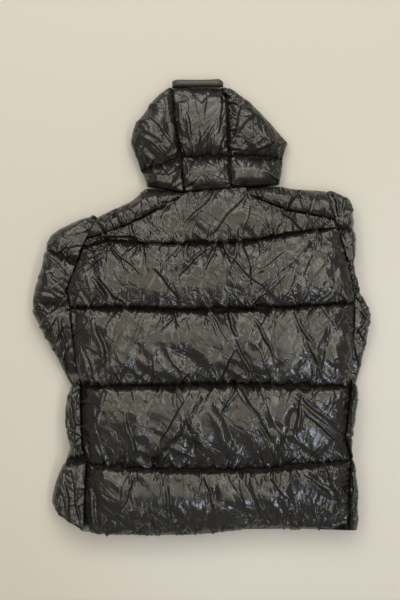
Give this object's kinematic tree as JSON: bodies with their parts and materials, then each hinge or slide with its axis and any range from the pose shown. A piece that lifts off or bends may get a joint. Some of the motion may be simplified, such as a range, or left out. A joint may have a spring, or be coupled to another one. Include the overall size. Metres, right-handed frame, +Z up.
{
  "type": "puffer jacket",
  "caption": "Hooded quilted puffer jacket in glossy black nylon, laid on its front with the back up and both sleeves folded beneath.",
  "frame": {"origin": "the middle of the bounding box, on the surface the jacket lies on", "axes": "+Y from the hem to the hood, +X to the wearer's right, +Z up from the surface to the back"},
  "size_m": [0.6784, 0.914, 0.0882],
  "materials": {
    "shell_nylon": "glossy black nylon, padded",
    "binding": "satin black",
    "zip_tape": "matte black",
    "zip_slider": "satin black"
  },
  "bodies": {
    "root": {"back": "shell_nylon", "shoulder_left": "shell_nylon", "shoulder_right": "shell_nylon", "sleeve_left": "shell_nylon", "sleeve_right": "shell_nylon", "front_left": "shell_nylon", "front_right": "shell_nylon", "hood_centre": "shell_nylon", "hood_left": "shell_nylon", "hood_right": "shell_nylon", "hood_binding": "binding", "front_zip": "zip_tape", "zip_slider": "zip_slider"}
  },
  "joints": []
}
